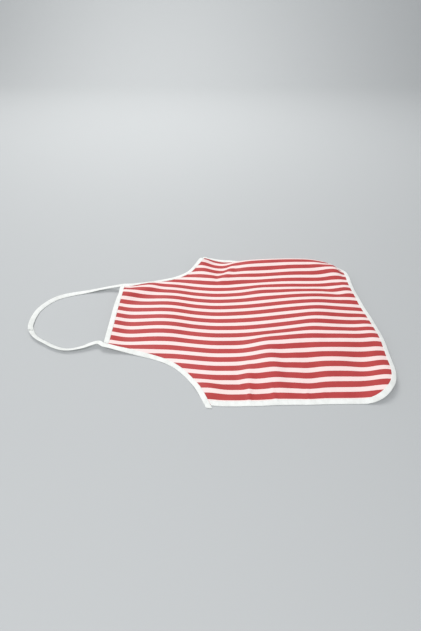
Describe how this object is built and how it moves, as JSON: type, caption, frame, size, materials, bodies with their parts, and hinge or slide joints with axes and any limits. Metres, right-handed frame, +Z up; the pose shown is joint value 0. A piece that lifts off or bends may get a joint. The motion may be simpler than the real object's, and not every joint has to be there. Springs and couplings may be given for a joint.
{
  "type": "oilcloth bib apron",
  "caption": "Striped oilcloth bib apron with bound edges and a neck loop, lying flat, worn over the front to keep clothes dry.",
  "frame": {"origin": "under the middle of the whole outline, on the surface that the apron lies on", "axes": "+X from the neck loop to the hem, +Y to the apron's far side in the picture, +Z up from the surface"},
  "size_m": [1.0466, 0.6198, 0.0366],
  "materials": {
    "striped_oilcloth": "red and white striped cotton with a soft oilcloth coating, satin",
    "white_tape": "white cotton bias tape, matte"
  },
  "bodies": {
    "root": {"oilcloth_panel": "striped_oilcloth", "bib_binding": "white_tape", "hem_binding": "white_tape", "halter_tape_near": "white_tape", "halter_tape_far": "white_tape"}
  },
  "joints": []
}
